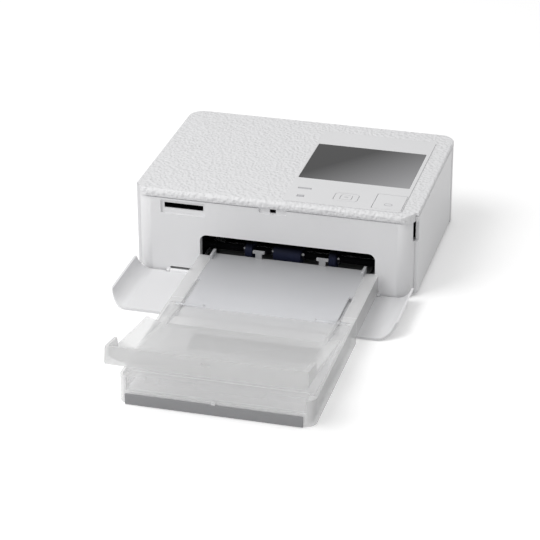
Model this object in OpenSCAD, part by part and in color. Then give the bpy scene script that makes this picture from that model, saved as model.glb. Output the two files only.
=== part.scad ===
// Compact photo printer with a slide-in paper cassette, front flap down and side ink door.
// Millimetres, +Z up, -Y to the front, origin at the centre of the footprint on the table.

/* [Body] */
// width over the side walls
body_w = 182.2; // [170:0.1:200]
// depth with the front flap closed
body_d = 133; // [126:0.5:150]
// height from the table to the control panel
body_h = 57.6; // [57:0.1:62]
// radius of the four upright corners
corner_r = 12; // [10:0.5:14]
// wall of the mouldings
wall = 2.2; // [1.8:0.1:2.4]
// height of the feet under the floor pan
foot_h = 1.0; // [0.8:0.1:1.4]
// height of the rounded rim along the front of the top cover
rim_h = 6; // [5:0.5:7]

// width of the label pad under the floor
pad_w = 60; // [40:1:80]
// depth of the label pad
pad_d = 40; // [30:1:60]

/* [Fits] */
// gap between mouldings that move past each other
gap = 0.3; // [0.25:0.05:0.4]
// radial clearance of shafts and pins
run = 0.05; // [0.03:0.01:0.1]

/* [Paper slot] */
// clear width of the slot in the front
slot_w = 113.2; // [112.8:0.1:116]
// middle of the slot, to the right of the middle of the body
slot_x = 8.9; // [8:0.05:9.5]
// top of the slot above the table
slot_top = 28.9; // [28:0.1:30.5]
// radius of its upper corners
slot_r = 4.5; // [3:0.5:6]

/* [Front flap] */
// thickness of the flap
flap_t = 1.4; // [1.2:0.1:2]
// height of its hinge line
flap_axis_z = 1.9; // [1.85:0.05:2.05]
// radius of the corners at its free edge
flap_r = 13; // [8:0.5:15]
// how far round the corners its ends reach, in degrees
flap_wrap = 78; // [66:1:80]
// half length of its hinge barrel
flap_barrel = 67.2; // [60:0.1:68]

/* [Control panel] */
// left edge of the smooth panel
panel_x0 = 4.5; // [3:0.5:6]
// right edge of the smooth panel
panel_x1 = 80.5; // [79.5:0.5:82]
// front edge of the smooth panel
panel_y0 = -60; // [-60.5:0.5:-59.5]
// rear edge of the smooth panel
panel_y1 = 52; // [48:0.5:56]
// width of the display glass
glass_w = 71.8; // [68:0.1:72.5]
// depth of the display glass
glass_d = 54.8; // [50:0.2:56]
// how far the keys sink
key_travel = 0.6; // [0.4:0.1:0.7]

/* [Ink door] */
// how far its hinge line stands in front of the back
door_back = 17; // [16.5:0.5:20]
// bottom edge of the door
door_z0 = 1.8; // [1.6:0.1:3]

/* [Cassette] */
// width of the tray outside the printer
tray_w = 115.5; // [114:0.5:117]
// middle of the tray
tray_x = 10.75; // [10:0.05:11.5]
// how far the tray reaches in front of the printer
tray_out = 162.3; // [158:0.1:168]
// how far its nose reaches inside
nose_in = 37.5; // [34:0.5:38]
// top of the tray
tray_top = 17; // [16:0.1:18]
// wall of the tray
tray_t = 1.6; // [1.2:0.1:1.8]
// underside of the raised rear half
tray_z1 = 4.6; // [4.4:0.1:4.8]
// width of the inserted nose
nose_w = 111.4; // [110:0.1:111.6]
// width of the flat rails beside the inner lid
rail_w = 8; // [7:0.5:9]

/* [Cassette lids] */
// how far the hinge line of both lids stands in front of the printer
lid_out = 67.3; // [65:0.1:70]
// height of that hinge line
lid_z = 16; // [15.8:0.1:16.2]
// tilt of the outer lid when it lies open
lid_tilt = 10; // [9.5:0.1:12]
// where its panel starts, from the hinge line
lid_s0 = 30.4; // [30.2:0.2:36]
// length of the outer lid from the hinge line
lid_len = 107.2; // [104:0.2:107.4]
// height of its end lip
lip_h = 10.6; // [9:0.1:11.5]
// half width of the outer lid
lid_half = 59; // [58.5:0.1:60]
// middle of the outer lid
lid_x = 8.5; // [8.4:0.05:10]

/* [Rollers and gears] */
// pick-up shaft, behind the front
pick_in = 16.5; // [14.5:0.5:18.5]
// pick-up shaft height
pick_z = 16; // [15.5:0.1:17]
// radius of the pick-up rollers
pick_r = 6; // [5:0.1:6.2]
// platen roller, behind the front
plat_in = 74.5; // [73.5:0.5:75.5]
// platen roller, below the top
plat_drop = 33.6; // [32.6:0.1:34.6]
// platen roller radius
plat_r = 7; // [6:0.1:7.4]
// capstan roller, behind the front
cap_in = 88.5; // [87.5:0.5:89.5]
// capstan roller radius
cap_r = 3.5; // [3:0.1:3.8]
// gear module
gear_m = 0.8; // [0.78:0.01:0.81]
// clearance of the big idler over the floor
idler_lift = 1.4; // [1:0.1:1.6]
// thickness of the gears
gear_t = 2.8; // [2.4:0.1:3]

/* [Hidden] */
$fn = 64;
half_w = body_w / 2;
y_rear = body_d / 2;
y_front = -body_d / 2;
y_rim = y_front + flap_t + gap;
y_face = y_rim + 1;
flap_axis_y = y_front + 1.5;
corner_x = half_w - corner_r;
corner_y = y_rear - corner_r;
wrap_y = -corner_y - corner_r * cos(flap_wrap);
step_y = wrap_y + gap;
top_z = body_h - gap;
cover_t = 1.9;
shell_top = top_z - cover_t - 0.2;
rim_z = body_h - rim_h;
floor_z0 = foot_h;
floor_z1 = foot_h + 1.8;
slot_x0 = slot_x - slot_w / 2;
slot_x1 = slot_x + slot_w / 2;
slot_depth = 5;
hinge_h = 4.3;
screw_x = [19.1 - half_w, half_w - 11.1];
screw_y = [y_front + 22.5, y_rear - 22.5];
boss_h = 4.2;
knuckle_r = 1.9;
door_x = half_w - knuckle_r;
door_axis_y = y_rear - door_back;
card_x = 32.55 - half_w;
card_z = rim_z - 4;
inlet_x = 17.1 - half_w;
usb_x = 32.3 - half_w;
barrel_r = 1.5;
pin_r = 0.9;

glass_x = (panel_x0 + panel_x1) / 2 - 0.45;
glass_y = panel_y0 + 63.35;
seat_z = top_z - 1.3;
board_z = shell_top - 5.6;
board_t = 1.6;
switch_h = 1.1;
dpad_x = 42.6;
dpad_y = -46.2;
print_x0 = 60.9;
print_x1 = 79.6;
print_y0 = -57;
print_y1 = -36;
key_x = 14.4;
key_ya = -39.5;
key_yb = -51;

frame_t = 1.5;
lug_h = 3.7;
frame_x0 = slot_x0 - 3;
frame_x1 = slot_x1 + 3.2;
frame_y0 = y_front + 8.5;
frame_top = board_z - 0.6;
front_cut_z = card_z - 4.6;
roll_x0 = frame_x0 + 6.5;
roll_x1 = frame_x1 - 6;
pick_y = y_front + pick_in;
plat_y = y_front + plat_in;
cap_y = y_front + cap_in;
plat_z = body_h - plat_drop;
nip_z = plat_z + plat_r;
cap_z = nip_z - cap_r;
lug_z = nip_z + 6;
pinch_r = 2.5;
pinch_z = nip_z + pinch_r + 0.3;
shaft_r = 2;
plate_x = frame_x0 - 7.4;
plate_t = 1.2;
gear_x = plate_x + 0.4;
ribbon_x = frame_x0 - 0.5 - gear_t;
n_cap = 24;
n_a = 40;
n_b = 32;
n_pick = 24;
n_pin = 14;
n_ribbon = 30;
a_z = floor_z1 + idler_lift + gear_m * (n_a / 2 + 0.8);
ca_dir = 180 + asin((cap_z - a_z) / (gear_m * (n_cap + n_a) / 2));
a_y = cap_y + gear_m * (n_cap + n_a) / 2 * cos(ca_dir);
ab = gear_m * (n_a + n_b) / 2;
bp = gear_m * (n_b + n_pick) / 2;
ap = norm([pick_y - a_y, pick_z - a_z]);
ap_dir = atan2(pick_z - a_z, pick_y - a_y);
ab_dir = ap_dir - acos((ab * ab + ap * ap - bp * bp) / (2 * ab * ap));
b_y = a_y + ab * cos(ab_dir);
b_z = a_z + ab * sin(ab_dir);
motor_r = 10;
pin_dir = asin(min(1, (shell_top - 2 - motor_r - a_z) / (gear_m * (n_a + n_pin) / 2)));
pin_y = a_y + gear_m * (n_a + n_pin) / 2 * cos(pin_dir);
pin_z = a_z + gear_m * (n_a + n_pin) / 2 * sin(pin_dir);
spool_z = nip_z + 7;
supply_y = y_front + 48.5;
takeup_y = y_front + 103.5;
tube_r = 10.5;
frame_y1 = takeup_y + 13;
rib_dir = -70;
rib_y = takeup_y + gear_m * (n_ribbon + n_pin) / 2 * cos(rib_dir);
rib_z = spool_z + gear_m * (n_ribbon + n_pin) / 2 * sin(rib_dir);
ph_cap = 0;
ph_a = mesh(ph_cap, ca_dir, n_cap, n_a);
ph_b = mesh(ph_a, ab_dir, n_a, n_b);
ph_pick = mesh(ph_b, atan2(pick_z - b_z, pick_y - b_y), n_b, n_pick);
ph_pin = mesh(ph_a, pin_dir, n_a, n_pin);
ph_rib = mesh(0, rib_dir, n_ribbon, n_pin);
post_r = 1.5;
hub_r = 3;
motor_l = 9.5;
cart_x0 = frame_x0 + frame_t + 2.4;
cart_x1 = half_w - wall - 7;

tray_x0 = tray_x - tray_w / 2;
tray_x1 = tray_x + tray_w / 2;
nose_x0 = slot_x - nose_w / 2;
nose_x1 = slot_x + nose_w / 2;
tray_step = flap_axis_y + flap_axis_z - body_h - 5.8;
tray_in = y_rim - 2;
nose_top = 12.5;
tray_y0 = y_front - tray_out;
tray_y1 = y_front + nose_in;
lid_y = y_front - lid_out;
tray_low = 0.3;
deck_y1 = lid_y - 2.5;
apron_z = 10.5;
bar_top = 6.9;
stop_y0 = tray_y0 + 55.8;
stop_y1 = stop_y0 + 19;
lever_y = y_front + 29.5;
lever_z = board_z - 5.6;
apron_y = tray_y0 + 9;
arm_t = 2;
arm_x0 = tray_x0 + rail_w + gap;
arm_x1 = tray_x1 - rail_w - gap;
inner_y1 = y_face + 0.4;
lid_t = 1.8;
lid_drop = 3.9;
lid_x0 = lid_x - lid_half;
lid_x1 = lid_x + lid_half;
lid_slope = 8.5;
lid_pin_r = 1.1;

// the smooth white of the case, and the other colours
white = [0.90, 0.90, 0.91];
frost = [0.82, 0.83, 0.85];
metal = [0.70, 0.71, 0.73];
black = [0.06, 0.06, 0.07];

// which piece to draw

// ---------- helpers ----------

// phase of a gear that meshes with one whose tooth stands at angle p1
function mesh(p1, dir, n1, n2) = dir + 180 - (p1 - dir) * n1 / n2 - 180 / n2;

function roll_angle(r, rb) = sqrt(pow(r / rb, 2) - 1) * 180 / PI - acos(rb / r);

function tooth_half(r, rp, rb, n) =
  90 / n - 2.2 / rp + roll_angle(rp, rb) - roll_angle(max(r, rb), rb);

// outline of a spur gear with straight roots under the base circle
function gear_points(n, m, ph) =
  let (rp = m * n / 2, rb = rp * cos(20), rt = rp + 0.8 * m, rr = rp - 1.15 * m)
  let (rs = [rr, max(rb, rr + 0.05), (rb + rp) / 2, rp, (rp + rt) / 2, rt])
  [for (i = [0 : n - 1], side = [0, 1], k = [0 : 5])
    let (j = side == 0 ? k : 5 - k, r = rs[j], h = tooth_half(r, rp, rb, n))
    let (a = ph + 360 * i / n + (side == 0 ? -h : h))
    [r * cos(a), r * sin(a)]];

module box(x0, x1, y0, y1, z0, z1) {
  translate([x0, y0, z0])
    cube([x1 - x0, y1 - y0, z1 - z0]);
}

// rounded rectangle from corner to corner
module rrect(x0, x1, y0, y1, r) {
  translate([x0 + r, y0])
    square([x1 - x0 - 2 * r, y1 - y0]);
  translate([x0, y0 + r])
    square([x1 - x0, y1 - y0 - 2 * r]);
  for (x = [x0 + r, x1 - r], y = [y0 + r, y1 - r])
    translate([x, y])
      circle(r);
}

module plate(x0, x1, y0, y1, z0, z1, r) {
  translate([0, 0, z0])
    linear_extrude(z1 - z0)
      rrect(x0, x1, y0, y1, r);
}

// outline drawn in Y and Z, drawn out along X
module along_x(x0, x1) {
  translate([x0, 0, 0])
    rotate([90, 0, 90])
      linear_extrude(x1 - x0)
        children();
}

// outline drawn in X and Z, drawn out along Y
module along_y(y0, y1) {
  translate([0, y1, 0])
    rotate([90, 0, 0])
      linear_extrude(y1 - y0)
        children();
}

module xrod(r, x0, x1, y, z) {
  translate([x0, y, z])
    rotate([0, 90, 0])
      cylinder(r = r, h = x1 - x0);
}

module zrod(r, x, y, z0, z1) {
  translate([x, y, z0])
    cylinder(r = r, h = z1 - z0);
}

module yrod(r, x, z, y0, y1) {
  translate([x, y1, z])
    rotate([90, 0, 0])
      cylinder(r = r, h = y1 - y0);
}

// plan of the case, drawn in by d
module plan(d) {
  rrect(-half_w + d, half_w - d, y_front + d, y_rear - d, corner_r - d);
}

// plan of the front panel behind the flap, drawn in by d
module front_plan(d) {
  rrect(-half_w + flap_t + gap + d, half_w - flap_t - gap - d, y_face + d, y_rear - d,
    corner_r - flap_t - gap - d);
}

module gear(n, x, y, z, ph, bore) {
  difference() {
    along_x(x, x + gear_t)
      translate([y, z])
        polygon(gear_points(n, gear_m, ph));
    xrod(bore, x - 1, x + gear_t + 1, y, z);
  }
}

// puts a shape drawn flat on the closed lid line at the open tilt
module at_lid() {
  translate([0, lid_y, lid_z])
    rotate([-lid_tilt, 0, 0])
      children();
}

// ---------- case ----------

module bottom_chassis() {
  color(white) {
    difference() {
      translate([0, 0, floor_z0])
        linear_extrude(floor_z1 - floor_z0)
          difference() {
            union() {
              intersection() {
                plan(wall + gap);
                translate([-half_w, y_face + wall + gap])
                  square([body_w, body_d]);
              }
              // knuckle under the ink door
              translate([door_x, door_axis_y])
                circle(knuckle_r);
            }
            // front corners, behind the ends of the front panel
            difference() {
              translate([-half_w, y_front])
                square([body_w, wrap_y + 5 + gap - y_front]);
              front_plan(wall + gap);
            }
          }
      for (x = screw_x, y = screw_y)
        zrod(1.6, x, y, 0, floor_z1 + 1);
      zrod(pin_r + run, door_x, door_axis_y, floor_z0 + 0.2, floor_z1 + 1);
    }
    // runners under the cassette
    for (x = [nose_x0 + 4, nose_x1 - 6])
      box(x, x + 2, -59, tray_y1 + 4, floor_z1, tray_z1 - gap);
    // label pad in the middle, level with the feet
    plate(-pad_w / 2, pad_w / 2, -pad_d / 2, pad_d / 2, 0, foot_h, 4);
    // bosses for the screws
    for (x = screw_x, y = screw_y)
      difference() {
        zrod(3.2, x, y, floor_z1, floor_z1 + boss_h);
        zrod(1.6, x, y, 0, floor_z1 + boss_h + 1);
      }
  }
}

module outer_shell() {
  color(white)
    difference() {
      translate([0, 0, foot_h])
        linear_extrude(shell_top - foot_h)
          difference() {
            plan(0);
            plan(wall);
            translate([-half_w - 1, y_front - 1])
              square([body_w + 2, step_y - y_front + 1]);
            // opening closed by the ink door
            translate([half_w - corner_r, y_front])
              square([corner_r + 1, door_axis_y + knuckle_r + gap - y_front]);
          }
      // paper way out at the back
      along_y(y_rear - wall - 1, y_rear + 1)
        rrect(slot_x - 54, slot_x + 54, nip_z - 2.6, nip_z + 2.6, 1.5);
      // cooling slots at the back and the left
      for (i = [0 : 9])
        box(-40 + i * 9, -36 + i * 9, y_rear - wall - 1, y_rear + 1, rim_z - 10.6, rim_z - 3.6);
      for (i = [0 : 7])
        box(-half_w - 1, -half_w + wall + 1, -8 + i * 6, -5 + i * 6, 14, 34);
      // inlet and port
      yrod(3.4, inlet_x, 14, y_rear - wall - 1, y_rear + 1);
      along_y(y_rear - wall - 1, y_rear + 1)
        rrect(usb_x - 4.8, usb_x + 4.8, 12, 16, 1.6);
    }
}

module front_panel() {
  color(white) {
    difference() {
      translate([0, 0, foot_h])
        linear_extrude(rim_z - foot_h)
          difference() {
            union() {
              intersection() {
                front_plan(0);
                translate([-half_w, y_front])
                  square([body_w, wrap_y - y_front]);
              }
              // ends that lie inside the walls
              front_plan(wall - flap_t);
            }
            front_plan(wall);
            translate([-half_w, wrap_y + 5])
              square([body_w, body_d]);
          }
      // paper slot
      along_y(y_face - 1, y_face + 8)
        slot_outline(0);
      // room for the flap's hinge barrel
      along_y(y_face - 1, y_face + 8)
        rrect(-flap_barrel - 0.9, flap_barrel + 0.9, -4, hinge_h, 1.2);
      // finger recess, card slot and catch
      along_y(y_face - 1, y_face + 1.3)
        rrect(card_x - 14.55, card_x + 14.55, card_z - 6.3, card_z + 2.8, 1);
      box(card_x - 12.45, card_x + 13.1, y_face - 1, y_face + 8, card_z - 2.9, card_z + 0.8);
      along_y(y_face - 1, y_face + 1.1)
        rrect(-9.2, 8.9, rim_z - 3, rim_z + 1, 1.5);
      box(-2.3, 1.7, y_face - 1, y_face + 8, rim_z - 2.7, rim_z + 1);
      // finger slit beside the ink door
      box(half_w - 5.5, half_w, wrap_y - 1.6, wrap_y + 6, rim_z - 13.2, rim_z + 1);
    }
    // lining of the slot
    difference() {
      along_y(y_face + wall, y_face + slot_depth)
        slot_outline(1.4);
      along_y(y_face, y_face + slot_depth + 1)
        slot_outline(0);
      box(-half_w, half_w, y_face, 0, -1, hinge_h);
    }
    // ears that carry the flap
    for (s = [-1, 1])
      difference() {
        along_x(s * (flap_barrel + 1.2) - 1, s * (flap_barrel + 1.2) + 1) {
          translate([flap_axis_y, flap_axis_z])
            circle(1.4);
          translate([flap_axis_y, flap_axis_z - 0.9])
            square([y_face + 1.2 - flap_axis_y, 2.3]);
        }
        xrod(pin_r + run, s * (flap_barrel + 1.2) - 2, s * (flap_barrel + 1.2) + 2,
          flap_axis_y, flap_axis_z);
      }
  }
}

module slot_outline(d) {
  translate([slot_x0 - d, 0])
    square([slot_w + 2 * d, slot_top - slot_r]);
  rrect(slot_x0 - d, slot_x1 + d, 10, slot_top + d, slot_r + d);
}

module top_cover() {
  color(white)
    difference() {
      union() {
        // skin, set in at the front for the closed flap
        intersection() {
          translate([0, 0, shell_top + 0.2])
            linear_extrude(cover_t)
              union() {
                intersection() {
                  plan(0);
                  translate([-half_w, step_y])
                    square([body_w, body_d]);
                }
                rrect(-half_w + flap_t + gap, half_w - flap_t - gap, y_rim, 0,
                  corner_r - flap_t - gap);
              }
          // soft edges along the sides and the front
          along_x(-half_w - 1, half_w + 1)
            union() {
              translate([y_rim, rim_z])
                rrect(0, 40, 0, rim_h - gap, 2.6);
              translate([y_rim + 20, rim_z])
                rrect(0, body_d - flap_t - gap - 20, 0, rim_h - gap, 1);
            }
          along_y(y_front, y_rear)
            rrect(-half_w, half_w, rim_z, top_z, 1);
        }
        // rim that hangs down along the front
        intersection() {
          translate([0, 0, rim_z])
            linear_extrude(rim_h - gap - 0.4)
              difference() {
                rrect(-half_w + flap_t + gap, half_w - flap_t - gap, y_rim, 0,
                  corner_r - flap_t - gap);
                rrect(-half_w + flap_t + gap + wall, half_w - flap_t - gap - wall, y_rim + wall, 0,
                  corner_r - flap_t - gap - wall);
                translate([-half_w, step_y + 4])
                  square([body_w, body_d]);
                // clear of the side walls and the ink door
                difference() {
                  translate([-half_w, step_y - gap])
                    square([body_w, body_d]);
                  plan(wall + gap);
                }
              }
          along_x(-half_w, half_w)
            translate([y_rim, rim_z])
              rrect(0, 40, 0, rim_h - gap, 2.6);
        }
        // plate that drops inside the walls
        translate([0, 0, shell_top - 0.8])
          linear_extrude(1.4)
            difference() {
              plan(wall + gap + 1.2);
              translate([-half_w, y_front])
                square([body_w, y_rim + wall - y_front]);
              translate([door_x, door_axis_y])
                circle(knuckle_r + gap);
            }
        // posts for the board
        for (p = board_posts)
          zrod(2.6, p[0], p[1], board_z + board_t, shell_top);
      }
      // seat of the control panel and the holes through it
      plate(panel_x0, panel_x1, panel_y0, panel_y1, seat_z, top_z + 1, 3);
      box(glass_x - 35, glass_x + 35, glass_y - 27, glass_y + 27, rim_z, top_z);
      plate(dpad_x - 6.7, dpad_x + 6.7, dpad_y - 4.7, dpad_y + 4.7, rim_z, top_z, 2);
      box(print_x0 + 2, print_x1 - 2, print_y0 + 3, print_y1 - 3, rim_z, top_z);
      for (y = [key_ya, key_yb])
        box(key_x - 3, key_x + 3, y - 1.2, y + 1.2, rim_z, top_z);
      for (p = board_posts)
        zrod(1, p[0], p[1], board_z - 1, shell_top - 1.5);
      zrod(pin_r + run, door_x, door_axis_y, shell_top - 1, shell_top + 1.2);
    }
}

board_posts = [[panel_x0 + 1, panel_y0 + 3], [panel_x1 + 0.5, panel_y0 + 29],
  [panel_x0 + 1, panel_y1 - 5], [panel_x1 + 0.5, panel_y1 - 5]];

module control_panel() {
  color([0.93, 0.93, 0.94])
    difference() {
      plate(panel_x0 + 0.1, panel_x1 - 0.1, panel_y0 + 0.1, panel_y1 - 0.1, seat_z, body_h, 3);
      plate(glass_x - glass_w / 2 - 0.1, glass_x + glass_w / 2 + 0.1, glass_y - glass_d / 2 - 0.1,
        glass_y + glass_d / 2 + 0.1, seat_z - 1, body_h + 1, 0.6);
      plate(dpad_x - 7.8, dpad_x + 7.8, dpad_y - 5.8, dpad_y + 5.8, seat_z - 1, body_h + 1, 2.8);
      box(print_x0 - gap, print_x1 + gap, print_y0 - gap, print_y1 + gap, seat_z - 1, body_h + 1);
      box(key_x - 4 - gap, key_x + 4 + gap, key_ya - 0.8 - gap, key_ya + 0.8 + gap, seat_z - 1, body_h + 1);
      box(key_x - 2 - gap, key_x + 2 + gap, key_yb - 1.2 - gap, key_yb + 1.2 + gap, seat_z - 1, body_h + 1);
    }
}

module lcd_window() {
  color(black)
    plate(glass_x - glass_w / 2, glass_x + glass_w / 2, glass_y - glass_d / 2, glass_y + glass_d / 2,
      seat_z, body_h - 0.05, 0.5);
}

module lcd_module() {
  color([0.25, 0.26, 0.28])
    box(glass_x - 34.4, glass_x + 34.4, glass_y - 26.4, glass_y + 26.4, board_z + board_t, seat_z - 0.1);
}

module main_board() {
  color([0.10, 0.35, 0.18])
    difference() {
      box(panel_x0 - 2, panel_x1 + 3.5, panel_y0 + 0.5, panel_y1 - 2, board_z, board_z + board_t);
      for (p = board_posts)
        zrod(1.3, p[0], p[1], board_z - 1, board_z + board_t + 1);
    }
}

switch_spots = [[dpad_x, dpad_y], [(print_x0 + print_x1) / 2, (print_y0 + print_y1) / 2],
  [key_x, key_ya], [key_x, key_yb]];

module tact_switches() {
  color(metal)
    for (p = switch_spots)
      box(p[0] - 1.6, p[0] + 1.6, p[1] - 1.6, p[1] + 1.6, board_z + board_t, board_z + board_t + switch_h);
}

module card_reader() {
  color(metal)
    difference() {
      box(card_x - 14.4, card_x + 14.8, y_face + wall + 0.2, y_face + 29.8, card_z - 4, card_z + 2.4);
      box(card_x - 12.8, card_x + 13.3, y_face, y_face + 26.8, card_z - 2.7, card_z + 1);
    }
}

module dc_inlet() {
  color(black)
    difference() {
      union() {
        yrod(3.2, inlet_x, 14, y_rear - 11, y_rear - 0.4);
        box(inlet_x - 5, inlet_x + 5, y_rear - 13, y_rear - wall, floor_z1, 19);
      }
      yrod(2.75, inlet_x, 14, y_rear - 9, y_rear + 1);
    }
  // centre pin of the inlet
  color(metal)
    yrod(0.8, inlet_x, 14, y_rear - 10, y_rear - 2);
}

module usb_port() {
  color(metal)
    difference() {
      along_y(y_rear - 9, y_rear - 0.4)
        rrect(usb_x - 4.5, usb_x + 4.5, 12.4, 15.6, 1.4);
      along_y(y_rear - 8, y_rear + 1)
        rrect(usb_x - 4.1, usb_x + 4.1, 12.8, 15.2, 1.1);
    }
  color([0.10, 0.35, 0.18])
    box(usb_x - 7.2, usb_x + 7.2, y_rear - 12, y_rear - wall - 0.3, 10.8, 12.4);
}

module rubber_feet() {
  color([0.12, 0.12, 0.13])
    for (x = [11.1 - half_w, half_w - 11.1], y = [y_front + 12.5, y_rear - 12.5])
      zrod(5, x, y, 0, foot_h);
}

module case_screws() {
  color(metal)
    for (x = screw_x, y = screw_y) {
      zrod(1.5, x, y, foot_h - 0.1, floor_z1 + boss_h - 0.5);
      zrod(2.6, x, y, foot_h - 0.7, foot_h);
    }
}

// ---------- print works ----------

module side_frame(x) {
  difference() {
    along_x(x, x + frame_t) {
      translate([frame_y0, floor_z1])
        square([frame_y1 - frame_y0, front_cut_z - floor_z1]);
      translate([supply_y - 12, floor_z1])
        square([frame_y1 - supply_y + 12, frame_top - floor_z1]);
    }
    xrod(shaft_r + run, x - 1, x + frame_t + 1, pick_y, pick_z);
    xrod(shaft_r + run, x - 1, x + frame_t + 1, plat_y, plat_z);
    xrod(shaft_r + run, x - 1, x + frame_t + 1, cap_y, cap_z);
    xrod(1.5 + run, x - 1, x + frame_t + 1, cap_y, pinch_z);
    // upright slot that guides the print head
    box(x - 1, x + frame_t + 1, plat_y - 3 - gap, plat_y + 3 + gap, lug_z, lug_z + 6 + gap);
  }
}

module left_frame() {
  color(metal)
    difference() {
      side_frame(frame_x0);
      // hub of the ribbon drive
      xrod(hub_r + run, frame_x0 - 1, frame_x0 + frame_t + 1, takeup_y, spool_z);
    }
  // spindle that holds the full spool
  color(metal)
    xrod(2.4, frame_x0 + frame_t, cart_x0 + 4, supply_y, spool_z);
}

module right_frame() {
  color(metal)
    difference() {
      side_frame(frame_x1);
      // window that the ink cartridge goes in by
      along_x(frame_x1 - 1, frame_x1 + frame_t + 1)
        union() {
          for (y = [supply_y, takeup_y])
            translate([y, spool_z])
              circle(tube_r + 0.5);
          translate([supply_y, spool_z + 4.5])
            square([takeup_y - supply_y, tube_r - 4]);
        }
    }
}

module gear_plate() {
  color(metal) {
    difference() {
      along_x(plate_x - plate_t, plate_x) {
        translate([frame_y0 + 2, 6])
          square([frame_y1 - frame_y0 - 2, front_cut_z - 6]);
        translate([supply_y, 6])
          square([frame_y1 - supply_y, frame_top - 6]);
      }
      xrod(2.5, plate_x - plate_t - 1, plate_x + 1, pin_y, pin_z);
      xrod(2.5, plate_x - plate_t - 1, plate_x + 1, rib_y, rib_z);
      for (p = [[pick_y, pick_z], [cap_y, cap_z]])
        xrod(shaft_r + run, plate_x - plate_t - 1, plate_x + 1, p[0], p[1]);
      for (p = [[a_y, a_z], [b_y, b_z]])
        xrod(post_r, plate_x - plate_t - 1, plate_x + 1, p[0], p[1]);
    }
    // spacers to the side frame
    for (p = [[pick_y - 3, pick_z + 22], [pick_y + 16, 8.5], [takeup_y + 9, 9], [takeup_y - 13, spool_z + 8.5]])
      xrod(2, plate_x, frame_x0, p[0], p[1]);
  }
}

module idler_posts() {
  color(metal)
    for (p = [[a_y, a_z], [b_y, b_z]])
      xrod(post_r, plate_x - plate_t, frame_x0, p[0], p[1]);
}

module motor(y, z, r, reach) {
  color([0.55, 0.56, 0.58]) {
    xrod(r, plate_x - plate_t - motor_l, plate_x - plate_t, y, z);
    xrod(1, plate_x - plate_t, reach, y, z);
  }
}

module feed_motor() {
  motor(pin_y, pin_z, motor_r, gear_x - 0.2);
}

module ribbon_motor() {
  motor(rib_y, rib_z, 8, gear_x - 0.2);
}

module feed_pinion() {
  color([0.9, 0.9, 0.85])
    gear(n_pin, gear_x, pin_y, pin_z, ph_pin, 0.9);
  color(metal)
    xrod(0.9, gear_x, frame_x0 - 0.4, pin_y, pin_z);
}

module idler_gear_a() {
  color([0.9, 0.9, 0.85])
    gear(n_a, gear_x, a_y, a_z, ph_a, post_r + run);
}

module idler_gear_b() {
  color([0.9, 0.9, 0.85])
    gear(n_b, gear_x, b_y, b_z, ph_b, post_r + run);
}

module capstan_roller() {
  color(metal) {
    xrod(shaft_r, plate_x - plate_t - 1, frame_x1 + frame_t + 1, cap_y, cap_z);
    xrod(cap_r, roll_x0, roll_x1, cap_y, cap_z);
  }
}

module capstan_gear() {
  color([0.9, 0.9, 0.85])
    gear(n_cap, gear_x, cap_y, cap_z, ph_cap, shaft_r);
}

module pinch_roller() {
  color([0.2, 0.2, 0.22]) {
    xrod(1.5, frame_x0 - 1, frame_x1 + frame_t + 1, cap_y, pinch_z);
    for (i = [0 : 2])
      xrod(pinch_r, roll_x0 + 4 + i * 36, roll_x0 + 26 + i * 36, cap_y, pinch_z);
  }
}

module platen_roller() {
  color([0.13, 0.14, 0.16]) {
    xrod(shaft_r, frame_x0 - 1, frame_x1 + frame_t + 1, plat_y, plat_z);
    xrod(plat_r, roll_x0, roll_x1, plat_y, plat_z);
  }
}

module pickup_shaft() {
  color(metal)
    xrod(shaft_r, plate_x - plate_t - 1, frame_x1 + frame_t + 1, pick_y, pick_z);
}

roller_spans = [[-20.5, -15.9], [-2.1, 15.6], [33.8, 38.5]];

module pickup_rollers() {
  color([0.10, 0.11, 0.17])
    for (s = roller_spans)
      difference() {
        xrod(pick_r, s[0], s[1], pick_y, pick_z);
        xrod(shaft_r, s[0] - 1, s[1] + 1, pick_y, pick_z);
      }
}

module pickup_clips() {
  color([0.9, 0.9, 0.9])
    for (x = [-22.2, -3.8, 15.9, 38.8])
      difference() {
        xrod(3, x, x + 1.4, pick_y, pick_z);
        xrod(shaft_r, x - 1, x + 3, pick_y, pick_z);
      }
}

module pickup_gear() {
  color([0.9, 0.9, 0.85])
    gear(n_pick, gear_x, pick_y, pick_z, ph_pick, shaft_r);
}

module ribbon_pinion() {
  color([0.9, 0.9, 0.85])
    gear(n_pin, ribbon_x, rib_y, rib_z, ph_rib, 0.9);
  color(metal)
    xrod(0.9, gear_x, ribbon_x + gear_t + 0.2, rib_y, rib_z);
}

module ribbon_gear() {
  color([0.9, 0.9, 0.85]) {
    gear(n_ribbon, ribbon_x, takeup_y, spool_z, 0, hub_r);
    xrod(hub_r, ribbon_x, frame_x0 + frame_t + 0.6, takeup_y, spool_z);
    // six-sided driver that enters the empty spool
    translate([frame_x0 + frame_t + 0.6, takeup_y, spool_z])
      rotate([0, 90, 0])
        cylinder(r = 3, h = 7, $fn = 6);
  }
}

module thermal_head() {
  color([0.85, 0.84, 0.80])
    difference() {
      box(roll_x0 - 1, roll_x1 + 1, plat_y - 5, plat_y + 5, nip_z + 0.6, nip_z + 4);
      box(roll_x0 - 2, roll_x1 + 2, plat_y - 6, plat_y - 2.5, nip_z, nip_z + 1.4);
    }
}

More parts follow.
